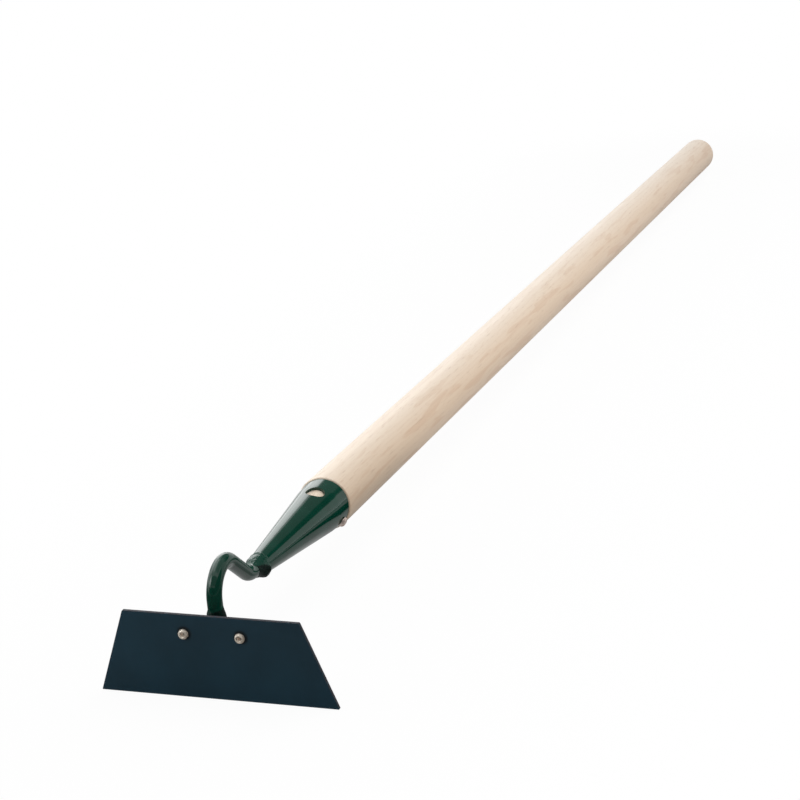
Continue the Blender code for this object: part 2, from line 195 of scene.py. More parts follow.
class Graph:
    """A node tree that is written as expressions."""

    MIX_FIRST, MIX_SECOND, MIX_COLOUR = 6, 7, 2

    def __init__(self, owner: bpy.types.Material | bpy.types.World) -> None:
        """Empty a node tree and take it over.

        Args:
            owner: the material or world that it belongs to.
        """
        owner.use_nodes = True
        self.tree = owner.node_tree
        self.tree.nodes.clear()

    def add(self, kind: str, settings: dict, sockets: dict, output: int | str = 0) -> Term | None:
        """Add a node.

        Args:
            kind: the node's type.
            settings: its properties, which are set first.
            sockets: a value or a Term for each input, by name or place.
            output: which output to return.

        Returns:
            That output, or None where the node has none.
        """
        node = self.tree.nodes.new(kind)
        for key, value in settings.items():
            setattr(node, key, value)
        for key, value in sockets.items():
            if isinstance(value, Term):
                self.tree.links.new(value.socket, node.inputs[key])
            else:
                node.inputs[key].default_value = value
        return Term(self, node.outputs[output]) if len(node.outputs) else None

    def place(self, origin: Point = (0, 0, 0), pitch: float = 0.0) -> Term:
        """Return Object coordinates in a frame of their own.

        Args:
            origin: the frame's origin.
            pitch: its turn about X.

        Returns:
            The coordinates as a vector.
        """
        own = self.add("ShaderNodeTexCoord", {}, {}, "Object")
        sockets = {"Vector": own, "Location": origin, "Rotation": (pitch, 0.0, 0.0)}
        return self.add("ShaderNodeMapping", {"vector_type": "TEXTURE"}, sockets)

    def noise(self, where: Term, scale: float, detail: float = 2.0, rough: float = 0.5) -> Term:
        """Return a noise value from 0 to 1 at a place."""
        sockets = {"Vector": where, "Scale": scale, "Detail": detail, "Roughness": rough}
        return self.add("ShaderNodeTexNoise", {}, sockets)

    def mix(self, share: Term, first: Colour | Term, second: Colour | Term) -> Term:
        """Return a colour between two.

        Args:
            share: how much of the second colour there is, from 0 to 1.
            first: the colour at 0.
            second: the colour at 1.

        Returns:
            The mixed colour.
        """
        sockets = {0: share}
        for key, paint in ((self.MIX_FIRST, first), (self.MIX_SECOND, second)):
            sockets[key] = paint if isinstance(paint, Term) else (*paint, 1.0)
        return self.add("ShaderNodeMix", {"data_type": "RGBA"}, sockets, self.MIX_COLOUR)

    def relief(self, height: Term, depth: float, after: Term | None = None) -> Term:
        """Return the normal of a surface with a height pattern.

        Args:
            height: the pattern, from 0 to 1.
            depth: how far the pattern's full height stands out, in metres.
            after: the normal of a coarser pattern that it lies on.

        Returns:
            The bent normal.
        """
        sockets = {"Height": height, "Distance": depth, "Strength": 1.0}
        if after is not None:
            sockets["Normal"] = after
        return self.add("ShaderNodeBump", {}, sockets)

    def surface(self, sockets: dict) -> None:
        """End the graph in a Principled shader."""
        shader = self.add("ShaderNodeBsdfPrincipled", {}, sockets)
        self.add("ShaderNodeOutputMaterial", {}, {"Surface": shader})

    def white(self, kind: str, strength: Term | float) -> Term:
        """Return a white shader of a kind that glows."""
        return self.add(kind, {}, {"Color": (1, 1, 1, 1), "Strength": strength})

    def blend(self, share: Term, first: Term, second: Term, end: str = "Material") -> None:
        """End the graph in a mixture of two shaders, for a Material or a World."""
        both = self.add("ShaderNodeMixShader", {}, {0: share, 1: first, 2: second})
        self.add("ShaderNodeOutput" + end, {}, {"Surface": both})

    def seen(self, mirror_share: float) -> Term:
        """Tell what the camera, glass and mirrored rays see.

        Args:
            mirror_share: the value for mirrored rays.

        Returns:
            1 for the camera and glass, the share for mirrored rays and 0 for the rest.
        """
        rays = self.add("ShaderNodeLightPath", {}, {}, "Is Camera Ray")
        direct = rays.higher(rays.other("Is Transmission Ray"))
        return direct.higher(rays.other("Is Glossy Ray") * mirror_share)


# Finishes

class Finish:
    """A named finish, whose pattern each kind draws for itself."""

    name: str

    def draw(self, graph: Graph) -> None:
        """Draw the pattern into a material's graph."""
        raise NotImplementedError

    def material(self) -> bpy.types.Material:
        """Make the finish.

        Returns:
            Its material.
        """
        made = bpy.data.materials.new(self.name)
        self.draw(Graph(made))
        return made


@dataclass(frozen=True)
class AshWood(Finish):
    """Turned pale ash with its lengthwise grain, on the handle's own axis."""

    name: str = "ash_wood"
    pale: Colour = (0.788, 0.675, 0.555)
    # The heart tone, partly heartwood and partly painted shade on the handle's lower right side.
    heart_and_shade: Colour = (0.645, 0.492, 0.354)
    tan: Colour = (0.560, 0.370, 0.240)
    line: Colour = (0.420, 0.290, 0.195)
    ring_spacing: float = 0.0034
    ring_drift: float = 0.012
    pith: Span = (0.030, -0.034)
    heart_and_shade_reach: float = 0.014
    flame_sway: float = 0.010
    grain_depth: float = 0.00005

    @staticmethod
    def streaks(graph: Graph, where: Term, share: float, scale: float, detail: float = 1.0,
                rough: float = 0.5) -> Term:
        """Return noise that is drawn out lengthwise, the more so the smaller its share."""
        return graph.noise(where.stretched((1.0, share, 1.0)), scale, detail, rough)

    def draw(self, graph: Graph) -> None:
        """Draw the rings, fibres, pores, flames and short dashes, and the heart tone on the lower right
        side, which is partly painted shade.

        Args:
            graph: the material's graph.
        """
        grain = graph.place(AXIS_ORIGIN, AXIS_PITCH)
        drift = self.streaks(graph, grain, 0.08, 45.0, 2.0)
        across, _, up = grain.split()
        from_pith = ((across - self.pith[0]) ** 2 + (up - self.pith[1]) ** 2) ** 0.5
        phase = (from_pith + drift * self.ring_drift) * (2 * math.pi / self.ring_spacing)
        late = (phase.sine() * 0.5 + 0.5) ** 3.0
        fibre = self.streaks(graph, grain, 0.022, 1300.0, 3.0, 0.65)
        pore = self.streaks(graph, grain, 0.060, 1150.0).between(0.60, 0.70) * (0.30 + 0.70 * late)
        # From pale on the upper left to the heart tone on the lower right: partly heartwood, partly painted
        # shade on that side; the flames show mostly there.
        heart_and_shade_side = (across * 0.8 - up * 0.6).between(-self.heart_and_shade_reach, self.heart_and_shade_reach)
        sway = self.streaks(graph, grain, 0.15, 90.0) * self.flame_sway
        flames = self.streaks(graph, grain.moved(sway), 0.07, 170.0).between(0.54, 0.62)
        dashes = self.streaks(graph, grain, 0.06, 1500.0).between(0.64, 0.72)
        tone = late * 0.10 + flames * (0.06 + 0.40 * heart_and_shade_side) + (fibre - 0.5) * 0.26 + dashes * 0.30
        body = graph.mix(tone, graph.mix(heart_and_shade_side, self.pale, self.heart_and_shade), self.tan)
        graph.surface({
            "Base Color": graph.mix(pore * 0.30, body, self.line),
            "Roughness": 0.38 + 0.14 * fibre,
            "Specular IOR Level": 0.35,
            "Sheen Weight": 0.22,
            "Sheen Roughness": 0.35,
            "Normal": graph.relief(late * 0.4 + fibre * 0.6 - pore * 0.5, self.grain_depth),
        })


@dataclass(frozen=True)
class GreenEnamel(Finish):
    """Dipped glossy enamel with slight orange peel and faint dust."""

    name: str = "green_enamel"
    deep: Colour = (0.0005, 0.0340, 0.0200)
    thin: Colour = (0.0010, 0.0440, 0.0270)
    peel_depth: float = 0.000006
    wave_depth: float = 0.00010

    def draw(self, graph: Graph) -> None:
        """Draw the enamel's clouds, peel, waves and dust.

        Args:
            graph: the material's graph.
        """
        where = graph.place()
        cloud = graph.noise(where, 55.0, 2.0)
        peel = graph.noise(where, 900.0, 1.0)
        wave = graph.noise(where, 60.0, 1.0)
        dust = graph.noise(where, 2600.0, 1.0).between(0.70, 0.80)
        coarse = graph.relief(wave, self.wave_depth)
        graph.surface({
            "Base Color": graph.mix(cloud.between(0.35, 0.7), self.deep, self.thin),
            "Roughness": 0.09 + 0.05 * cloud + 0.12 * dust,
            "Normal": graph.relief(peel + dust * 0.6, self.peel_depth, coarse),
            "IOR": 1.5,
        })


@dataclass(frozen=True)
class DarkSidedEnamel(Finish):
    """The enamel on a weld, darker and matt past an edge on one side of it."""

    name: str
    origin: Point
    pitch: float
    side: Point
    edge: float
    green: Colour = (0.0006, 0.0350, 0.0210)
    thin: Colour = (0.0010, 0.0440, 0.0270)
    # The dark side's colour; on the foot's weld it is painted shade.
    dark_side: Colour = (0.0012, 0.0060, 0.0046)
    ragged: float = 0.0022
    fade: float = 0.0006
    ripple_depth: float = 0.00026
    gloss_depth: float = 0.00003
    matt_depth: float = 0.00006

    def draw(self, graph: Graph) -> None:
        """Draw the rippled gloss and the dark matt side.

        Args:
            graph: the material's graph.
        """
        where = graph.place(self.origin, self.pitch)
        across, along, up = where.stretched(self.side).split()
        ripple = graph.noise(where, 900.0, 3.0, 0.6)
        grit = graph.noise(where, 2600.0, 2.0)
        # Past the edge the weld turns dark and matt; on the foot's weld that dark side is painted shade.
        beyond = across + along + up + (ripple - 0.5) * self.ragged
        dark_side_share = beyond.between(self.edge - self.fade, self.edge + self.fade)
        coarse = graph.relief(ripple * (0.55 + 0.45 * dark_side_share), self.ripple_depth)
        gloss = graph.add("ShaderNodeBsdfPrincipled", {}, {
            "Base Color": graph.mix(grit, self.green, self.thin),
            "Roughness": 0.13 + 0.10 * ripple,
            "Specular IOR Level": 0.26,
            "Normal": graph.relief(grit, self.gloss_depth, coarse),
        })
        matt = graph.add("ShaderNodeBsdfPrincipled", {}, {
            "Base Color": graph.mix(grit.between(0.50, 0.75), self.dark_side, self.green),
            "Roughness": 0.36 + 0.20 * ripple,
            "Specular IOR Level": 0.18,
            "Normal": graph.relief(grit, self.matt_depth, coarse),
        })
        graph.blend(dark_side_share, gloss, matt)


@dataclass(frozen=True)
class BlueBlackCoat(Finish):
    """Satin blue-black coat on the blade, worn to brown steel along its edges."""

    name: str = "blue_black_coat"
    coat: Colour = (0.0062, 0.0440, 0.0720)
    cool: Colour = (0.0048, 0.0365, 0.0600)
    steel: Colour = (0.070, 0.045, 0.040)
    # The colour of the painted shadow round the rivets.
    painted_shadow: Colour = (0.0015, 0.0040, 0.0060)
    ragged: float = 0.0011
    worn_rim: Span = (0.00030, 0.00002)
    # The painted shadow's reach round each rivet, and how far it is shifted up and to the right.
    painted_shadow_ring: Span = (0.0052, 0.0036)
    painted_shadow_shift: float = 0.0006
    speckle_depth: float = 0.000008
    cloud_depth: float = 0.00003

    def draw(self, graph: Graph) -> None:
        """Draw the clouded coat, its worn edges and a painted shadow round the rivets.

        Args:
            graph: the material's graph.
        """
        where = graph.place(BLADE_ORIGIN, BLADE_PITCH)
        across, _, up = where.split()
        cloud = graph.noise(where, 30.0, 3.0)
        speckle = graph.noise(where, 1800.0, 2.0)
        ragged = graph.noise(where, 420.0, 3.0)
        slope = (BLADE_EDGE_WIDTH - BLADE_TOP_WIDTH) / 2 / BLADE_HEIGHT
        from_side = (BLADE_TOP_WIDTH / 2 - across.size()) - up * slope
        near_edge = (up * -1.0).lower(from_side).lower(up + BLADE_HEIGHT)
        wear = (near_edge + (ragged - 0.5) * self.ragged).between(*self.worn_rim)
        # Painted shadow: the coat darkens over a disc round each rivet, out a little past its head, with
        # its middle shifted up and to the right.
        left = (across + RIVET_SPACING / 2 - self.painted_shadow_shift).size()
        right = (across - RIVET_SPACING / 2 - self.painted_shadow_shift).size()
        above = up + RIVET_DROP - self.painted_shadow_shift
        from_rivet = (left.lower(right) ** 2.0 + above ** 2.0) ** 0.5
        base = graph.mix(cloud.between(0.3, 0.7), self.coat, self.cool)
        base = graph.mix(from_rivet.between(*self.painted_shadow_ring) * 0.85, base, self.painted_shadow)
        coarse = graph.relief(cloud, self.cloud_depth)
        graph.surface({
            "Base Color": graph.mix(wear * 0.6, base, self.steel),
            "Roughness": 0.40 + 0.10 * cloud + (speckle - 0.5) * 0.12 + wear * 0.35,
            "Metallic": wear * 0.2,
            "Normal": graph.relief(speckle, self.speckle_depth, coarse),
        })


@dataclass(frozen=True)
class RivetZinc(Finish):
    """Yellowish zinc on the hammered rivets, dirty round the dish and rusty at the middle."""

    name: str = "rivet_zinc"
    bright: Colour = (0.98, 0.90, 0.78)
    tan: Colour = (0.46, 0.33, 0.23)
    dirt: Colour = (0.10, 0.075, 0.060)
    rust: Colour = (0.30, 0.14, 0.06)
    rise: float = 0.0007
    sway: float = 0.0016
    upper: Span = (-0.0006, 0.0006)
    ring: float = 0.0013
    ring_fade: Span = (0.00055, 0.0001)
    spot: Span = (0.0010, 0.0004)
    # Where the dish turns tan: partly the zinc's own tone, partly painted shade in the hollow.
    inside: Span = (0.0023, 0.0012)
    # Where painted shade darkens each head towards its right side.
    painted_shade_right: Span = (0.0004, 0.0030)
    grit_depth: float = 0.00006
    hammer_depth: float = 0.00010

    def draw(self, graph: Graph) -> None:
        """Draw the plating, painted shade on its right side and in its dish, the broken ring of dirt and
        the rust.

        Args:
            graph: the material's graph.
        """
        where = graph.place(BLADE_ORIGIN, BLADE_PITCH)
        across, _, up = where.split()
        sway = (graph.noise(where, 700.0, 2.0) - 0.5) * self.sway
        beside = across.size() - RIVET_SPACING / 2
        above = up + RIVET_DROP
        from_axis = (beside ** 2.0 + (above - self.rise) ** 2.0) ** 0.5 + sway
        aside = across - across.sign() * (RIVET_SPACING / 2)
        # Painted shade: each head darkens towards its right side and a little downwards.
        painted_shade_right = (aside - above * 0.3).between(*self.painted_shade_right)
        ring = (from_axis - self.ring).size().between(*self.ring_fade) * above.between(*self.upper)
        spot = from_axis.between(*self.spot)
        grit = graph.noise(where, 3600.0, 2.0)
        dirt = ring * graph.noise(where, 620.0, 1.0).between(0.36, 0.58)
        worn = graph.noise(where, 1100.0, 2.0).between(0.44, 0.62)
        # The zinc turns tan with random wear, in the dish (partly its own tone, partly painted shade in the
        # hollow) and towards the right side (painted shade).
        dulled_and_shaded = from_axis.between(*self.inside) * 0.34 + worn * 0.34 + painted_shade_right * 0.36
        plate = graph.mix(dulled_and_shaded, self.bright, self.tan)
        coarse = graph.relief(graph.noise(where, 1500.0, 1.0), self.hammer_depth)
        graph.surface({
            "Base Color": graph.mix(spot * 0.7, graph.mix(dirt * 0.85, plate, self.dirt), self.rust),
            "Metallic": 0.42 - 0.26 * worn,
            "Roughness": 0.16 + 0.14 * worn,
            "Specular IOR Level": 1.0,
            "Normal": graph.relief(grit * 0.5 - dirt, self.grit_depth, coarse),
        })


@dataclass(frozen=True)
class WornPlate(Finish):
    """Hammered and tarnished zinc plating on the screw."""

    name: str = "worn_plate"
    bright: Colour = (0.78, 0.64, 0.57)
    dull: Colour = (0.30, 0.21, 0.17)
    grit_depth: float = 0.000006
    hammer_depth: float = 0.00010

    def draw(self, graph: Graph) -> None:
        """Draw the plating's stains, grit and hammer marks.

        Args:
            graph: the material's graph.
        """
        where = graph.place()
        marks = graph.noise(where, 900.0, 3.0, 0.6).between(0.50, 0.66)
        grit = graph.noise(where, 4200.0, 2.0)
        coarse = graph.relief(graph.noise(where, 1100.0, 1.0), self.hammer_depth)
        graph.surface({
            "Base Color": graph.mix(marks * 0.8, self.bright, self.dull),
            "Metallic": 0.65 - 0.35 * marks,
            "Roughness": 0.30 + 0.28 * marks + 0.08 * grit,
            "Normal": graph.relief(grit, self.grit_depth, coarse),
        })


# Modelling by hand

class Workpiece:
    """A mesh on the bench, shaped in edit mode and finished with modifiers."""

    def __init__(self, name: str, add: Callable[[], object]) -> None:
        """Start a piece from a primitive.

        Args:
            name: the finished piece's name.
            add: a call that adds the primitive.
        """
        self._clear_selection()
        add()
        self.thing = bpy.context.object
        self.thing.name = name
        self.thing.data.name = name

    @staticmethod
    def _clear_selection() -> None:
        """Leave edit mode and deselect everything."""
        if bpy.context.object is not None and bpy.context.object.mode != "OBJECT":
            bpy.ops.object.mode_set(mode="OBJECT")
        bpy.ops.object.select_all(action="DESELECT")

    @classmethod
    def ring(cls, name: str, sides: int, radius: float, along: float, filled: bool = True) -> "Workpiece":
        """Start from a circle across the Y axis.

        Args:
            name: the finished piece's name.
            sides: how many corners the circle has.
            radius: the circle's radius.
            along: its place on the Y axis.
            filled: whether the circle is a face.

        Returns:
            The workpiece.
        """
        fill = "NGON" if filled else "NOTHING"
        return cls(name, lambda: bpy.ops.mesh.primitive_circle_add(
            vertices=sides, radius=radius, fill_type=fill, location=(0, along, 0),
            rotation=(math.pi / 2, 0, 0)))

    @classmethod
    def block(cls, name: str, size: Point, centre: Point) -> "Workpiece":
        """Start from a box.

        Args:
            name: the finished piece's name.
            size: the box's size.
            centre: its middle.

        Returns:
            The workpiece.
        """
        piece = cls(name, lambda: bpy.ops.mesh.primitive_cube_add(size=1.0, location=centre, scale=size))
        bpy.ops.object.transform_apply(location=True, rotation=True, scale=True)
        return piece

    def edit(self) -> bmesh.types.BMesh:
        """Go into edit mode.

        Returns:
            The mesh in edit mode.
        """
        bpy.context.view_layer.objects.active = self.thing
        self.thing.select_set(True)
        if self.thing.mode != "EDIT":
            bpy.ops.object.mode_set(mode="EDIT")
        return bmesh.from_edit_mesh(self.thing.data)

    def leave(self) -> None:
        """Go back to object mode."""
        if self.thing.mode == "EDIT":
            bpy.ops.object.mode_set(mode="OBJECT")

    def select(self, kind: Element, test: Callable[[Vector], bool]) -> None:
        """Select corners, edges or faces by their middle.

        Args:
            kind: what is picked.
            test: takes an element's middle and says whether it is wanted.
        """
        self.edit()
        bpy.ops.mesh.select_mode(type=kind.value)
        bpy.ops.mesh.select_all(action="DESELECT")
        mesh = self.edit()
        elements, middle = {
            Element.CORNER: (mesh.verts, lambda vert: vert.co),
            Element.EDGE: (mesh.edges, lambda edge: (edge.verts[0].co + edge.verts[1].co) / 2),
            Element.FACE: (mesh.faces, lambda face: face.calc_center_median()),
        }[kind]
        for element in elements:
            element.select_set(test(self.thing.matrix_world @ middle(element)))
        mesh.select_flush_mode()
        bmesh.update_edit_mesh(self.thing.data)

    def select_all(self) -> None:
        """Select the whole mesh."""
        self.edit()
        bpy.ops.mesh.select_mode(type="VERT")
        bpy.ops.mesh.select_all(action="SELECT")

    def draw_out(self, stations: Sequence[Station]) -> None:
        """Extrude the piece's first ring through more rings along Y.

        Args:
            stations: (radius, along) of each ring, the first being the ring that is there.
        """
        self.select_all()
        for (radius, along), (next_radius, next_along) in zip(stations, stations[1:]):
            step = {"value": (0.0, next_along - along, 0.0)}
            bpy.ops.mesh.extrude_region_move(TRANSFORM_OT_translate=step)
            share = next_radius / radius
            bpy.ops.transform.resize(value=(share, 1.0, share), center_override=(0.0, next_along, 0.0))

    def lathe(self, stations: Sequence[Station]) -> None:
        """Draw a filled ring out through its stations and close it."""
        self.draw_out(stations)
        self.close()

    def close(self) -> None:
        """Merge doubles and point every face outwards."""
        self.select_all()
        bpy.ops.mesh.remove_doubles(threshold=WELD_THRESHOLD)
        bpy.ops.mesh.normals_make_consistent(inside=False)
        self.leave()

    def move(self, axes: Matrix) -> None:
        """Move the piece from the axes that it was drawn in to others."""
        self.thing.matrix_world = axes @ self.thing.matrix_world
        bpy.context.view_layer.update()

    def modify(self, kind: str, **settings: object) -> None:
        """Add a modifier, set it and apply it.

        Args:
            kind: the modifier's type.
            settings: its properties.
        """
        self.leave()
        bpy.context.view_layer.objects.active = self.thing
        bpy.ops.object.modifier_add(type=kind)
        modifier = self.thing.modifiers[-1]
        for key, value in settings.items():
            setattr(modifier, key, value)
        bpy.ops.object.modifier_apply(modifier=modifier.name)

    def cut(self, tool: "Workpiece") -> None:
        """Take another workpiece's volume out, and throw that away."""
        self.modify("BOOLEAN", operation="DIFFERENCE", solver="EXACT", object=tool.thing)
        bpy.data.objects.remove(tool.thing)

    def soften(self, width: float, segments: int = 2, angle: float = 35.0) -> None:
        """Round every edge that is sharper than an angle in degrees."""
        self.modify("BEVEL", width=width, segments=segments, limit_method="ANGLE",
                    angle_limit=math.radians(angle), use_clamp_overlap=True)

    def roughen(self, scale: float, strength: float, depth: int = 2) -> None:
        """Push the surface in and out by a cloudy pattern.

        Args:
            scale: the size of the clouds.
            strength: the way from the lowest place to the highest.
            depth: how many finer patterns it has.
        """
        texture = bpy.data.textures.new("lumps", "CLOUDS")
        texture.noise_scale = scale
        texture.noise_depth = depth
        self.modify("DISPLACE", texture=texture, strength=strength, mid_level=0.5,
                    texture_coords="LOCAL")

    def pull(self, spot: Vector, push: Vector, reach: float) -> None:
        """Pull the surface about a spot, fading with distance.

        Args:
            spot: the place on the surface.
            push: how far and which way it goes.
            reach: the distance at which the pull fades out.
        """
        places = [self.thing.matrix_world @ vert.co for vert in self.edit().verts]
        chosen = min(places, key=lambda place: (place - spot).length)
        self.select(Element.CORNER, lambda place: (place - chosen).length < WELD_THRESHOLD)
        bpy.ops.transform.translate(value=push, use_proportional_edit=True, proportional_size=reach,
                                    proportional_edit_falloff="SMOOTH")

    def present(self, axes: Matrix, node: str, slot: Slot, finish: bpy.types.Material,
                smooth: float = 35.0, flat: bool = False) -> None:
        """Put the finished piece in its place on the hoe.

        Args:
            axes: the axes that it was drawn in.
            node: the solid that it stands for.
            slot: the record's finish; not used.
            finish: its material.
            smooth: the angle in degrees under which edges are shaded smooth.
            flat: whether its large faces keep their own normal between soft edges.
        """
        self.leave()
        self._clear_selection()
        self.thing.select_set(True)
        bpy.context.view_layer.objects.active = self.thing
        self.move(axes)
        bpy.ops.object.transform_apply(location=True, rotation=True, scale=True)
        bpy.ops.object.shade_smooth_by_angle(angle=math.radians(smooth))
        if flat:
            self.modify("WEIGHTED_NORMAL", keep_sharp=True, weight=100)
        self.thing.data.materials.clear()
        self.thing.data.materials.append(finish)
        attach(self.thing, "root")
        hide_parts(node)
        LOG.info("%s: %d faces", self.thing.name, len(self.thing.data.polygons))


def dome(inner: float, outer: float, height: float, steps: int) -> list[Station]:
    """Return a quarter round from its rim in to its flat top.

    Args:
        inner: the flat top's radius.
        outer: the rim's radius.
        height: how far the top stands above the rim.
        steps: how many rings it has.

    Returns:
        (radius, height) from the rim to the top.
    """
    turns = [math.pi / 2 * step / steps for step in range(steps, -1, -1)]
    return [(inner + (outer - inner) * math.sin(turn), height * math.cos(turn)) for turn in turns]


def around(turn: float, radius: float, from_mouth: float) -> Vector:
    """Return the point at a turn from the top, a radius and a distance from the mouth."""
    return Vector((radius * math.sin(turn), -from_mouth, radius * math.cos(turn)))


def radial(turn: float, radius: float, from_mouth: float) -> Matrix:
    """Return axes whose +Y points out of the handle at a turn from the top."""
    out = Matrix.Rotation(turn, 4, "Y") @ Matrix.Rotation(math.pi / 2, 4, "X")
    return Matrix.Translation(around(turn, radius, from_mouth)) @ out


def drill(name: str, radius: float, length: float, axes: Matrix) -> Workpiece:
    """Make a cylinder to cut a hole with.

    Args:
        name: its name.
        radius: the hole's radius.
        length: the cylinder's length.
        axes: it lies along their Y, centred on their origin.

    Returns:
        The cylinder.
    """
    ends = [(radius, -length / 2), (radius, length / 2)]
    tool = Workpiece.ring(name, DRILL_SIDES, *ends[0])
    tool.lathe(ends)
    tool.move(axes)
    return tool


# The pieces

@dataclass
class Handle:
    """The turned wooden handle, from its round tip to the nose in the socket."""

    diameter: float = 0.037
    reach: float = 1.35498
    tip_flat: float = 0.0004
    tip_rings: int = 16
    gap: float = 0.0003
    shoulder: float = 0.0012
    shoulder_rings: int = 4
    nose_end: float = 0.084
    nose_chamfer: float = 0.0020
    sides: int = 128

    def build(self, socket: "Socket", wood: bpy.types.Material) -> None:
        """Turn the handle.

        Args:
            socket: the socket that its nose fits.
            wood: its material.
        """
        radius = self.diameter / 2
        shaft = self.reach - radius
        tip = dome(0.0, radius, radius, self.tip_rings)[:-1]
        stations = [(self.tip_flat, self.reach)]
        stations += [(across, shaft + up) for across, up in reversed(tip)]
        stations += [(radius, shaft * share) for share in (0.75, 0.5, 0.25)]
        for across, up in dome(radius - self.shoulder, radius, self.shoulder, self.shoulder_rings):
            stations.append((across, self.gap + self.shoulder - up))
        for from_mouth in (self.gap, socket.collar, self.nose_end - self.nose_chamfer):
            stations.append((socket.bore(from_mouth) - self.gap, -from_mouth))
        end = socket.bore(self.nose_end) - self.gap - self.nose_chamfer
        stations.append((end, -self.nose_end))
        piece = Workpiece.ring("handle_ash", self.sides, *stations[0])
        piece.lathe(stations)
        piece.present(AXIS, "handle", Slot.WOOD, wood)


@dataclass
class Socket:
    """The cone and collar rolled from sheet, with its seam, vent hole and soft rims.

    The wall's share is how much thicker the sloping sheet is, measured across the axis.
    """

    length: float = 0.119
    sheet: float = 0.0018
    wall_share: float = 1.004
    mouth_bore: float = 0.0316
    collar: float = 0.014
    flare: float = 0.0015
    end_bore: float = 0.0101
    vent: float = 0.0128
    vent_from_mouth: float = 0.0212
    vent_turn: float = math.radians(9)
    rim: float = 0.00035
    collar_rings: tuple[float, ...] = (0.0, 0.0045, 0.009, 0.0125, 0.014, 0.0155, 0.019)
    cone_rings: int = 20
    sides: int = 118

    def bore(self, from_mouth: float) -> float:
        """Return the inner radius at a place.

        Args:
            from_mouth: its distance from the mouth.

        Returns:
            The radius.
        """
        straight = (self.mouth_bore - self.flare) / 2
        if from_mouth < self.collar:
            return self.mouth_bore / 2 - self.flare / 2 * from_mouth / self.collar
        share = (from_mouth - self.collar) / (self.length - self.collar)
        return straight + (self.end_bore / 2 - straight) * share

    def skin(self, from_mouth: float) -> float:
        """Return the outer radius at a distance from the mouth."""
        return self.bore(from_mouth) + self.sheet * self.wall_share

    def build(self, enamel: bpy.types.Material) -> None:
        """Roll the sheet, leave its seam open below and punch the vent.

        Args:
            enamel: its material.
        """
        last = self.collar_rings[-1]
        steps = range(1, self.cone_rings + 1)
        cone = [last + (self.length - last) * step / self.cone_rings for step in steps]
        stations = [(self.bore(stop), -stop) for stop in (*self.collar_rings, *cone)]
        piece = Workpiece.ring("socket_rolled", self.sides, *stations[0], filled=False)
        piece.draw_out(stations)
        side = self.mouth_bore * math.sin(math.pi / self.sides)
        piece.select(Element.FACE, lambda spot: spot.z < 0 and abs(spot.x) < side / 4)
        bpy.ops.mesh.delete(type="FACE")
        piece.close()
        offset = self.outward(piece)
        piece.modify("SOLIDIFY", thickness=self.sheet, offset=offset, use_even_offset=True)
        wall = self.skin(self.vent_from_mouth)
        axes = radial(self.vent_turn, wall, self.vent_from_mouth)
        piece.cut(drill("vent_punch", self.vent / 2, wall, axes))
        piece.soften(self.rim, segments=3)
        piece.present(AXIS, "socket", Slot.GREEN, enamel, flat=True)

    @staticmethod
    def outward(piece: Workpiece) -> float:
        """Tell which way Solidify grows the sheet away from its axis.

        Args:
            piece: the rolled sheet.

        Returns:
            The modifier's offset, 1 or -1.
        """
        face = piece.thing.data.polygons[0]
        normal = piece.thing.matrix_world.to_3x3() @ face.normal
        middle = piece.thing.matrix_world @ face.center
        return 1.0 if normal.x * middle.x + normal.z * middle.z > 0 else -1.0


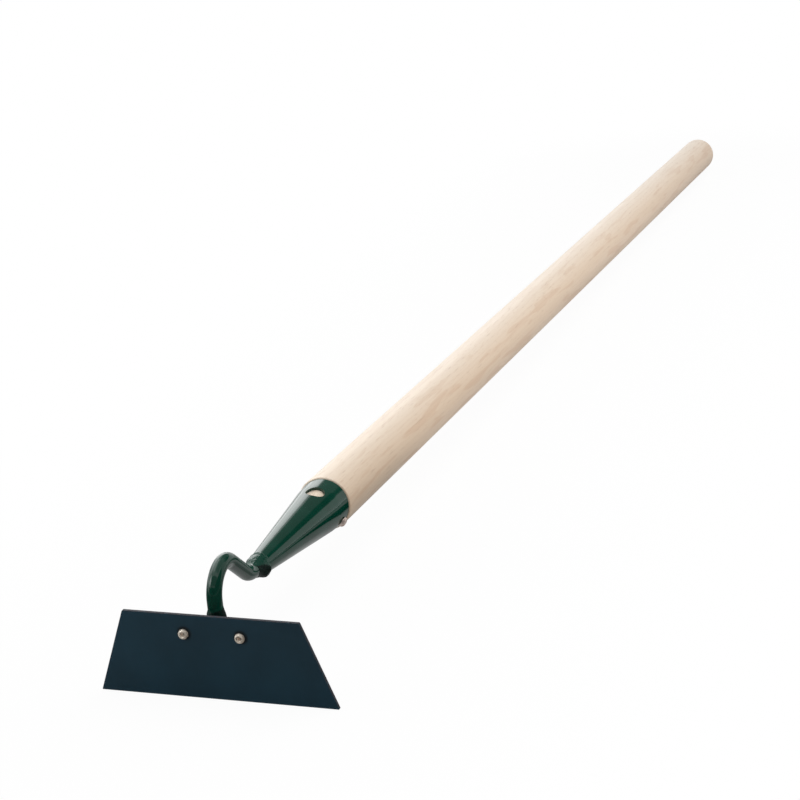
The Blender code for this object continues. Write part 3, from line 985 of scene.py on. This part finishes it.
@dataclass
class SwanNeck:
    """The round bar bent into a swan neck, and the weld that joins it to the socket.

    A bead's stations are (rise, past): past is the distance past the socket's end, and the rise
    is over the socket's skin there, over the skin at its end, or over the bar. A lump has a turn
    from the top in degrees, a distance from the mouth, a height and a reach.
    """

    diameter: float = 0.00948
    tail_from_mouth: float = 0.089
    bend_from_mouth: float = 0.1294
    dip: float = 0.020
    dip_steps: int = 20
    crest: float = 0.017
    crest_steps: int = 56
    drop: float = math.radians(35)
    drop_run: float = 0.0259
    lean: float = math.radians(5.5)
    leg: float = 0.0261
    end_round: float = 0.0006
    sides: int = 64
    bead_on_socket: tuple[Station, ...] = (
        (-0.0004, -0.0042), (0.00002, -0.0026), (0.0001, -0.0012),
    )
    bead_past_end: tuple[Station, ...] = (
        (0.00015, 0.0004), (0.00005, 0.0019), (-0.0002, 0.0034), (-0.00055, 0.0049),
        (-0.00095, 0.0064),
    )
    bead_on_bar: tuple[Station, ...] = (
        (0.00065, 0.0079), (0.0003, 0.0094), (0.00005, 0.0108), (-0.0006, 0.0116),
        (-0.0006, 0.0060), (-0.0006, 0.0003),
    )
    bead_inside: Station = (-0.0008, 0.0003)
    lumps: tuple[Lump, ...] = (
        (-72, 0.1188, 0.0010, 0.0050), (-60, 0.1225, 0.0005, 0.0036), (-40, 0.1168, 0.0005, 0.0022),
        (-24, 0.1164, 0.0006, 0.0020), (-8, 0.1162, 0.0006, 0.0019), (8, 0.1165, 0.0006, 0.0019),
        (17, 0.1171, 0.0005, 0.0017), (118, 0.1186, 0.0015, 0.0052), (125, 0.1230, 0.0012, 0.0040),
        (98, 0.1195, 0.0007, 0.0034), (145, 0.1210, 0.0010, 0.0045), (-140, 0.1205, 0.0006, 0.0050),
        (-10, 0.1238, 0.0004, 0.0017), (-28, 0.1252, 0.0005, 0.0018), (10, 0.1256, 0.0004, 0.0016),
        (-4, 0.1282, -0.0004, 0.0016), (-28, 0.1284, -0.0004, 0.0016), (20, 0.1284, -0.0003, 0.0014),
        (135, 0.1185, 0.0005, 0.0022),
    )
    lump_lift: float = 0.0008
    ripple: float = 0.0022
    ripple_height: float = 0.00035

    def build(self, socket: Socket, enamel: bpy.types.Material, dark_sided_weld: bpy.types.Material) -> None:
        """Bend the bar and lay the bead."""
        self.bend_bar(enamel)
        self.lay_bead(socket, dark_sided_weld)

    def bend_bar(self, enamel: bpy.types.Material) -> None:
        """Extrude and spin a round section along the neck.

        Args:
            enamel: the bar's material.
        """
        piece = Workpiece.ring("gooseneck_bar", self.sides, self.diameter / 2, -self.tail_from_mouth)
        piece.select_all()
        self.push(Vector((0, -1, 0)) * (self.bend_from_mouth - self.tail_from_mouth))
        dip_centre = Vector((0, -self.bend_from_mouth, self.dip))
        self.turn(self.dip_steps, -self.drop, dip_centre)
        up = Vector((0, math.sin(self.drop), math.cos(self.drop)))
        rise = Vector((0, -math.cos(self.drop), math.sin(self.drop))) * self.drop_run
        self.push(rise)
        crest_centre = dip_centre - up * self.dip + rise - up * self.crest
        self.turn(self.crest_steps, self.drop + math.pi / 2 + self.lean, crest_centre)
        self.push(Vector((0, math.sin(self.lean), -math.cos(self.lean))) * self.leg)
        piece.close()
        piece.soften(self.end_round, segments=3, angle=60.0)
        piece.present(AXIS, "gooseneck_rod", Slot.GREEN, enamel)

    @staticmethod
    def push(step: Vector) -> None:
        """Extrude the selected section straight on."""
        bpy.ops.mesh.extrude_region_move(TRANSFORM_OT_translate={"value": step})

    @staticmethod
    def turn(steps: int, angle: float, centre: Vector) -> None:
        """Spin the selected section round X at a centre; the operator turns left-handed."""
        bpy.ops.mesh.spin(steps=steps, angle=-angle, center=centre, axis=(1.0, 0.0, 0.0))

    def lay_bead(self, socket: Socket, dark_sided_weld: bpy.types.Material) -> None:
        """Draw a ring of weld over the socket's narrow end and pull its lumps.

        Args:
            socket: the socket that it closes.
            dark_sided_weld: the weld's material.
        """
        end = socket.length
        skin = socket.skin(end)
        rod = self.diameter / 2
        stations = [(socket.skin(end + past) + rise, end + past) for rise, past in self.bead_on_socket]
        stations += [(skin + rise, end + past) for rise, past in self.bead_past_end]
        stations += [(rod + rise, end + past) for rise, past in self.bead_on_bar]
        stations += [(skin + self.bead_inside[0], end + self.bead_inside[1]), stations[0]]
        stations = [(radius, -from_mouth) for radius, from_mouth in stations]
        piece = Workpiece.ring("neck_bead", self.sides, *stations[0], filled=False)
        piece.lathe(stations)
        piece.modify("SUBSURF", levels=2, render_levels=2)
        for degrees, from_mouth, height, reach in self.lumps:
            turn = math.radians(degrees)
            spot = around(turn, socket.skin(from_mouth) + self.lump_lift, from_mouth)
            piece.pull(spot, around(turn, 1.0, 0.0) * height, reach)
        piece.roughen(self.ripple, self.ripple_height)
        piece.present(AXIS, "neck_weld", Slot.GREEN, dark_sided_weld, smooth=60.0)


@dataclass
class Rivet:
    """One rivet with a hammered, dished head in front and a formed end behind.

    The dish is (radius, depth under the head's highest place) from its middle out to its rim.
    """

    head: float = 0.0032
    rise: float = 0.0021
    rim: float = 0.0015
    dish: tuple[Station, ...] = ((0.0003, 0.00002), (0.0006, 0.0001), (0.0009, 0.0004), (0.0012, 0.00042))
    shank: float = 0.0022
    tail: float = 0.0040
    tail_rise: float = 0.0022
    tail_flat: float = 0.0006
    rings: int = 8
    hammer_height: float = 0.00020
    sides: int = 72

    def build(self, label: str, seats: Span, hammer: float, axes: Matrix, zinc: bpy.types.Material) -> None:
        """Turn the rivet and hammer it.

        Args:
            label: which rivet it is.
            seats: where the head's seat and the formed end's seat are, in front and behind.
            hammer: the size of its hammer marks.
            axes: the axes that it sits in.
            zinc: its material.
        """
        front, back = seats
        stations = [(across, front - self.rise + depth) for across, depth in self.dish]
        head = dome(self.rim, self.head, self.rise, self.rings)
        stations += [(across, front - up) for across, up in reversed(head)]
        stations += [(self.head, front), (self.shank, front), (self.shank, back)]
        tail = dome(self.tail_flat, self.tail, self.tail_rise, self.rings)
        stations += [(across, back + up) for across, up in tail]
        piece = Workpiece.ring("rivet_" + label + "_zinc", self.sides, *stations[0])
        piece.lathe(stations)
        piece.roughen(hammer, self.hammer_height)
        piece.present(axes, "rivet_" + label, Slot.ZINC, zinc, smooth=50.0)


@dataclass
class BladeAssembly:
    """The blade, its foot plate, the two rivets and the weld at the bar's foot.

    The bead's stations are (rise over the bar, height over the blade's top edge), and the air is
    the size of the blocks that cut it to the room between the leg, the plate and the blade.
    """

    edge_width: float = BLADE_EDGE_WIDTH
    top_width: float = BLADE_TOP_WIDTH
    height: float = BLADE_HEIGHT
    thickness: float = 0.0020
    corner: float = 0.0006
    grind: float = 0.006
    edge: float = 0.0005
    edge_round: float = 0.00018
    rivet_spacing: float = RIVET_SPACING
    rivet_drop: float = RIVET_DROP
    rivet_hole: float = 0.0025
    drill_length: float = 0.03
    rivets: tuple[tuple[str, int, float], ...] = (("left", -1, 0.0012), ("right", 1, 0.0014))
    plate_width: float = 0.056
    plate_height: float = 0.020
    plate_front: float = 0.0013
    plate_back: float = 0.0043
    plate_top: float = -0.0025
    plate_corner: float = 0.005
    plate_round: float = 0.0005
    leg_depth: float = 0.00935
    bar_radius: float = 0.00475
    bead: tuple[Station, ...] = (
        (-0.0012, 0.0046), (-0.0005, 0.0032), (-0.0001, 0.0020), (0.0002, 0.0008), (0.0006, -0.0008),
        (0.0011, -0.0024), (0.0014, -0.0044), (0.0014, -0.0189), (0.0006, -0.0205),
    )
    bead_shift: float = 0.0003
    bead_behind: float = 0.0010
    bead_grain: float = 0.00035
    bead_ripple: float = 0.0022
    bead_ripple_height: float = 0.0003
    bead_sides: int = 72
    air: Point = (0.04, 0.02, 0.08)

    def build(self, enamel: bpy.types.Material, dark_sided_weld: bpy.types.Material, coat: bpy.types.Material,
              zinc: bpy.types.Material) -> None:
        """Make the blade's pieces.

        Args:
            enamel: the foot plate's material.
            dark_sided_weld: the weld's material.
            coat: the blade's material.
            zinc: the rivets' material.
        """
        self.cut_blade(coat)
        self.cut_plate(enamel)
        self.lay_bead(dark_sided_weld)
        for label, side, hammer in self.rivets:
            seats = (-self.thickness / 2, self.plate_back)
            Rivet().build(label, seats, hammer, PLANE @ self.rivet_spot(side), zinc)

    def rivet_spot(self, side: int) -> Matrix:
        """Return the place of the rivet on a side, -1 or 1, in the blade's axes."""
        return Matrix.Translation((side * self.rivet_spacing / 2, 0, -self.rivet_drop))

    def drill_rivets(self, piece: Workpiece) -> None:
        """Drill both rivet holes through a piece."""
        for side in (-1, 1):
            piece.cut(drill("rivet_drill", self.rivet_hole, self.drill_length, self.rivet_spot(side)))

    def cut_blade(self, coat: bpy.types.Material) -> None:
        """Cut the blade wider at its edge, grind its back and soften every edge.

        Args:
            coat: the blade's material.
        """
        size = (self.edge_width, self.thickness, self.height)
        piece = Workpiece.block("blade_steel", size, (0, 0, -self.height / 2))
        piece.select(Element.FACE, lambda spot: spot.z > -WELD_THRESHOLD)
        narrow = self.top_width / self.edge_width
        bpy.ops.transform.resize(value=(narrow, 1, 1), center_override=(0, 0, 0))
        piece.select(Element.EDGE, lambda spot: abs(spot.y) < WELD_THRESHOLD)
        bpy.ops.mesh.bevel(offset=self.corner, segments=4, affect="EDGES")
        piece.select_all()
        bpy.ops.mesh.bisect(plane_co=(0, 0, self.grind - self.height), plane_no=(0, 0, 1))
        low = WELD_THRESHOLD - self.height
        piece.select(Element.CORNER, lambda spot: spot.y > 0 and spot.z < low)
        bpy.ops.transform.translate(value=(0, self.edge - self.thickness, 0))
        piece.leave()
        self.drill_rivets(piece)
        piece.soften(self.edge_round, segments=2, angle=25.0)
        piece.present(PLANE, "blade", Slot.BLUE, coat, flat=True)

    def cut_plate(self, enamel: bpy.types.Material) -> None:
        """Cut the foot plate with its round corners.

        Args:
            enamel: the plate's material.
        """
        size = (self.plate_width, self.plate_back - self.plate_front, self.plate_height)
        middle = (self.plate_back + self.plate_front) / 2
        piece = Workpiece.block("foot_plate_steel", size, (0, middle, -self.rivet_drop))
        piece.select(Element.EDGE, lambda spot: abs(spot.y - middle) < WELD_THRESHOLD)
        bpy.ops.mesh.bevel(offset=self.plate_corner, segments=10, affect="EDGES")
        piece.leave()
        self.drill_rivets(piece)
        piece.soften(self.plate_round, segments=3)
        piece.present(PLANE, "foot_plate", Slot.GREEN, enamel, flat=True)

    def lay_bead(self, dark_sided_weld: bpy.types.Material) -> None:
        """Lay the weld in front of the bar's leg and down both its sides.

        Args:
            dark_sided_weld: the weld's material.
        """
        stations = [(self.bar_radius + rise, up) for rise, up in self.bead]
        piece = Workpiece.ring("foot_bead", self.bead_sides, *stations[0])
        piece.lathe(stations)
        leg = Matrix.Translation((self.bead_shift, self.leg_depth, 0))
        piece.move(leg @ Matrix.Rotation(math.pi / 2, 4, "X"))
        bpy.ops.object.transform_apply(location=True, rotation=True, scale=True)
        wide, deep, high = self.air
        behind = (0, self.leg_depth + self.bead_behind + deep / 2, 0)
        piece.cut(Workpiece.block("rear_air", self.air, behind))
        piece.cut(Workpiece.block("blade_air", self.air, (0, self.plate_front - deep / 2, 0)))
        before = (0, self.plate_back - deep / 2, self.plate_top - high / 4)
        piece.cut(Workpiece.block("plate_air", (wide, deep, high / 2), before))
        piece.modify("REMESH", mode="VOXEL", voxel_size=self.bead_grain)
        piece.modify("SMOOTH", factor=0.5, iterations=6)
        piece.roughen(self.bead_ripple, self.bead_ripple_height)
        piece.present(PLANE, "foot_weld", Slot.GREEN, dark_sided_weld, smooth=60.0)


@dataclass
class HandleScrew:
    """The slotted screw that holds the socket on the handle."""

    head: float = 0.0072
    height: float = 0.0025
    flat: float = 0.0012
    middle: float = 0.0005
    rings: int = 10
    shank: float = 0.0040
    length: float = 0.0150
    point: float = 0.0003
    from_mouth: float = 0.0070
    turn: float = math.radians(121)
    slot_turn: float = math.radians(20)
    slot_width: float = 0.0010
    slot_depth: float = 0.0009
    slot_share: float = 1.2
    edge_round: float = 0.00015
    hammer: float = 0.0012
    hammer_height: float = 0.00020
    sides: int = 64

    def build(self, socket: Socket, zinc: bpy.types.Material) -> None:
        """Turn the screw and saw its slot.

        Args:
            socket: the socket that it sits on.
            zinc: its material.
        """
        head = dome(self.flat, self.head / 2, self.height, self.rings)
        stations = [(self.middle, self.height), *reversed(head), (self.shank / 2, 0.0)]
        stations += [(self.shank / 2, self.shank - self.length), (self.point, -self.length)]
        piece = Workpiece.ring("handle_screw_zinc", self.sides, *stations[0])
        piece.lathe(stations)
        size = (self.slot_width, self.slot_depth * 2, self.head * self.slot_share)
        slot = Workpiece.block("screw_slot", size, (0, self.height, 0))
        slot.move(Matrix.Rotation(self.slot_turn, 4, "Y"))
        piece.cut(slot)
        piece.soften(self.edge_round)
        piece.roughen(self.hammer, self.hammer_height)
        seat = socket.skin(self.from_mouth - self.head / 2)
        piece.present(AXIS @ radial(self.turn, seat, self.from_mouth), "handle_screw", Slot.ZINC, zinc)


# The studio

@dataclass(frozen=True)
class Card:
    """A plain panel that only mirrored rays see, to shape the gloss; a matt one also shades the hoe."""

    name: str
    centre: Point
    size: Span
    facing: Facing
    tone: float
    soft: float = 0.05
    matt: bool = False


@dataclass(frozen=True)
class Lamp:
    """A soft rectangular lamp that lights the hoe without showing in the gloss."""

    name: str
    centre: Point
    size: Span
    tilt: float
    tone: float


@dataclass
class Studio:
    """A white floor, soft lamps and panels for the gloss.

    Next to the hoe a share of the floor's white, its shadow, gives way to matt grey that takes
    the hoe's shadow. It fades over shadow_reach, measured from the hoe's middle line.
    """

    camera_place: Point = (0.50246, -1.87730, 0.55295)
    camera_turn: tuple[float, float, float, float] = (0.797568, 0.582204, 0.11462, 0.108564)
    lens: float = 100.034
    sensor: float = 36.0
    sight: float = 200.0
    floor_span: float = 60.0
    floor_grey: float = 0.8
    floor_mirrored: float = 0.25
    shadow: float = 0.05
    shadow_reach: Span = (0.08, 0.35)
    hoe_half: float = 0.75
    ambient_low: float = 0.14
    ambient_high: float = 0.70
    lamps: tuple[Lamp, ...] = (
        Lamp("lamp_side", (-1.15, -0.85, 0.62), (0.90, 1.0), math.radians(-70), 1.75),
        Lamp("lamp_top", (0.45, -0.15, 1.55), (1.0, 2.4), math.radians(16), 2.1),
        Lamp("lamp_right", (0.95, 0.00, 0.24), (0.60, 1.5), math.radians(80), 1.15),
    )
    cards: tuple[Card, ...] = (
        Card("panel_front", (0.0, -3.2, 0.6), (8.0, 1.2), Facing.ALONG, 0.05),
        Card("panel_front_high", (0.0, -3.2, 2.8), (8.0, 3.2), Facing.ALONG, 0.25),
        Card("panel_floor", (0.27, -0.25, 0.0005), (0.66, 1.10), Facing.UP, 0.42, 0.04),
        Card("panel_shade", (0.27, -0.63, 0.00055), (0.66, 0.36), Facing.UP, 0.42, 0.04, True),
        Card("panel_front_floor", (0.15, -1.97, 0.0006), (2.7, 2.46), Facing.UP, 0.06, 0.01),
        Card("panel_left_floor", (-0.60, -0.62, 0.0007), (1.12, 0.32), Facing.UP, 0.15, 0.04),
        Card("panel_far_floor", (-0.90, 0.15, 0.0007), (0.70, 0.90), Facing.UP, 0.45),
        Card("panel_right", (1.5, -1.70, 0.75), (3.0, 1.5), Facing.ACROSS, 0.06),
        Card("panel_right_floor", (0.92, -0.80, 0.0008), (1.14, 1.8), Facing.UP, 0.10, 0.05, True),
        Card("panel_near_floor", (0.60, -1.0, 0.0009), (1.00, 0.82), Facing.UP, 0.06, 0.02, True),
        Card("panel_band", (0.130, -0.4150, 0.0010), (0.138, 0.160), Facing.UP, 0.0, 0.03),
        Card("panel_under", (-0.008, 0.15, 0.0008), (0.125, 1.5), Facing.UP, 0.40, 0.03),
        Card("panel_drop", (-0.025, -0.655, 0.0012), (0.130, 0.23), Facing.UP, 0.54, 0.08),
        Card("panel_streak", (0.070, -0.665, 0.0011), (0.070, 0.12), Facing.UP, 0.25, 0.1),
        Card("panel_window", (1.7, 0.35, 1.38), (1.3, 2.5), Facing.ACROSS, 0.62),
        Card("panel_window_low", (1.7, 1.75, 0.60), (1.5, 0.94), Facing.ACROSS, 0.62),
        Card("panel_back", (2.35, 3.0, 0.60), (3.3, 1.2), Facing.ALONG, 0.72),
        Card("panel_back_high", (1.40, 3.0, 3.55), (5.2, 4.8), Facing.ALONG, 0.20, 0.05),
        Card("panel_back_dark", (2.15, 2.98, 1.90), (1.6, 1.4), Facing.ALONG, 0.02, 0.1),
        Card("panel_left_low", (-1.25, 1.35, 0.35), (1.3, 0.72), Facing.ACROSS, 2.1),
        Card("panel_left_near", (-1.25, 0.30, 0.16), (0.8, 0.32), Facing.ACROSS, 0.50),
        Card("panel_left_mid", (-1.25, 0.30, 0.50), (0.8, 0.38), Facing.ACROSS, 1.5),
        Card("panel_glint", (-1.25, -0.56, 0.30), (0.90, 0.48), Facing.ACROSS, 1.5, 0.1),
        Card("panel_key", (-1.05, -1.40, 0.75), (0.70, 0.70), Facing.ACROSS, 4.2, 0.1),
        Card("panel_left", (-0.98, 1.50, 0.90), (0.75, 5.0), Facing.STEEP, 2.6, 0.08),
        Card("panel_crest", (-0.55, -0.50, 1.35), (0.50, 1.4), Facing.SLOPED, 2.4, 0.15),
        Card("panel_above", (0.55, -0.30, 1.60), (1.5, 2.2), Facing.UP, 0.50, 0.15),
    )

    def build(self) -> None:
        """Set up the camera, the world, the floor, the lamps and the panels."""
        self.set_camera()
        self.set_world()
        self.lay_floor()
        for lamp in self.lamps:
            self.hang_lamp(lamp)
        for card in self.cards:
            self.stand_card(card)
        bpy.context.scene.view_settings.view_transform = "Standard"

    def set_camera(self) -> None:
        """Put the camera where the photograph was taken from."""
        bpy.ops.object.camera_add(location=self.camera_place)
        camera = bpy.context.object
        camera.name = "camera"
        camera.rotation_mode = "QUATERNION"
        camera.rotation_quaternion = Quaternion(self.camera_turn)
        camera.data.lens = self.lens
        camera.data.sensor_width = self.sensor
        camera.data.clip_end = self.sight
        bpy.context.scene.camera = camera

    def set_world(self) -> None:
        """Light from all round, less from the front, and white to the camera and in the gloss."""
        world = bpy.data.worlds.new("studio")
        bpy.context.scene.world = world
        graph = Graph(world)
        right, back, up = graph.add("ShaderNodeTexCoord", {}, {}, "Generated").split()
        lit = (back * 0.5 + up * 0.6 - right * 0.3).between(-0.8, 0.8)
        level = self.ambient_low + (self.ambient_high - self.ambient_low) * lit
        soft = graph.white("ShaderNodeBackground", level)
        white = graph.white("ShaderNodeBackground", 1.0)
        graph.blend(graph.seen(1.0), soft, white, "World")

    @staticmethod
    def lay_plane(name: str, size: float, centre: Point, turn: Point) -> bpy.types.Object:
        """Add a plane for the studio.

        Args:
            name: its name.
            size: its width and length.
            centre: its middle.
            turn: its rotation.

        Returns:
            The plane.
        """
        bpy.ops.mesh.primitive_plane_add(size=size, location=centre, rotation=turn)
        plane = bpy.context.object
        plane.name = name
        return plane

    @staticmethod
    def glowing(plane: bpy.types.Object, name: str) -> Graph:
        """Give a plane a material that isn't sampled as a lamp.

        Args:
            plane: the plane.
            name: the material's name.

        Returns:
            The material's graph.
        """
        made = bpy.data.materials.new(name)
        made.cycles.emission_sampling = "NONE"
        plane.data.materials.append(made)
        return Graph(made)

    def lay_floor(self) -> None:
        """Lay the white floor, which keeps a faint shadow."""
        floor = self.lay_plane("studio_floor", self.floor_span, (0, 0, 0), Facing.UP.value)
        graph = self.glowing(floor, "white_floor")
        grey = (self.floor_grey, self.floor_grey, self.floor_grey, 1)
        matt = graph.add("ShaderNodeBsdfDiffuse", {}, {"Color": grey})
        white = graph.white("ShaderNodeEmission", 1.0)
        across, along, _ = graph.place().split()
        past_end = (along.size() - self.hoe_half).higher(0.0)
        away = (across ** 2.0 + past_end ** 2.0) ** 0.5
        kept = (1.0 - self.shadow) + self.shadow * away.between(*self.shadow_reach)
        graph.blend(graph.seen(self.floor_mirrored) * kept, matt, white)

    def hang_lamp(self, lamp: Lamp) -> None:
        """Hang one soft lamp.

        Args:
            lamp: its place, size and tone.
        """
        bpy.ops.object.light_add(type="AREA", location=lamp.centre, rotation=(0.0, lamp.tilt, 0.0))
        light = bpy.context.object
        light.name = lamp.name
        light.data.shape = "RECTANGLE"
        light.data.size, light.data.size_y = lamp.size
        light.data.energy = lamp.tone * math.pi * lamp.size[0] * lamp.size[1]
        light.visible_glossy = False

    def stand_card(self, card: Card) -> None:
        """Stand one panel, which fades out at its border.

        Args:
            card: its place, size, tone and kind.
        """
        panel = self.lay_plane(card.name, 1.0, card.centre, card.facing.value)
        panel.scale = (*card.size, 1.0)
        graph = self.glowing(panel, card.name)
        across, along, _ = graph.place().split()
        inside = (0.5 - across.size()).between(0.0, card.soft)
        inside = inside * (0.5 - along.size()).between(0.0, card.soft)
        if card.matt:
            inside = inside * (1.0 - graph.add("ShaderNodeNewGeometry", {}, {}, "Backfacing"))
        glow = graph.white("ShaderNodeEmission", card.tone)
        graph.blend(inside, graph.add("ShaderNodeBsdfTransparent", {}, {}), glow)
        panel.visible_camera = False
        panel.visible_diffuse = card.matt
        panel.visible_shadow = False
        panel.visible_transmission = False


def main() -> None:
    """Dress the hoe and set up the studio."""
    logging.basicConfig(level=logging.INFO, format="%(message)s")
    enamel = GreenEnamel().material()
    # The neck weld turns darker and matt towards its lower right and towards the bar.
    neck_weld_dark_side = DarkSidedEnamel("neck_weld_dark_side", AXIS_ORIGIN, AXIS_PITCH, side=(0.8, -0.5, -0.6), edge=0.0650)
    # The foot weld's dark side is painted shade, low where it meets the blade and reaching higher on the
    # right.
    foot_weld_painted_shade = DarkSidedEnamel("foot_weld_painted_shade", BLADE_ORIGIN, BLADE_PITCH, side=(0.25, 0.0, -1.0), edge=0.0001)
    socket = Socket()
    Handle().build(socket, AshWood().material())
    socket.build(enamel)
    SwanNeck().build(socket, enamel, neck_weld_dark_side.material())
    BladeAssembly().build(enamel, foot_weld_painted_shade.material(), BlueBlackCoat().material(), RivetZinc().material())
    HandleScrew().build(socket, WornPlate().material())
    Studio().build()


if __name__ == "__main__":
    main()
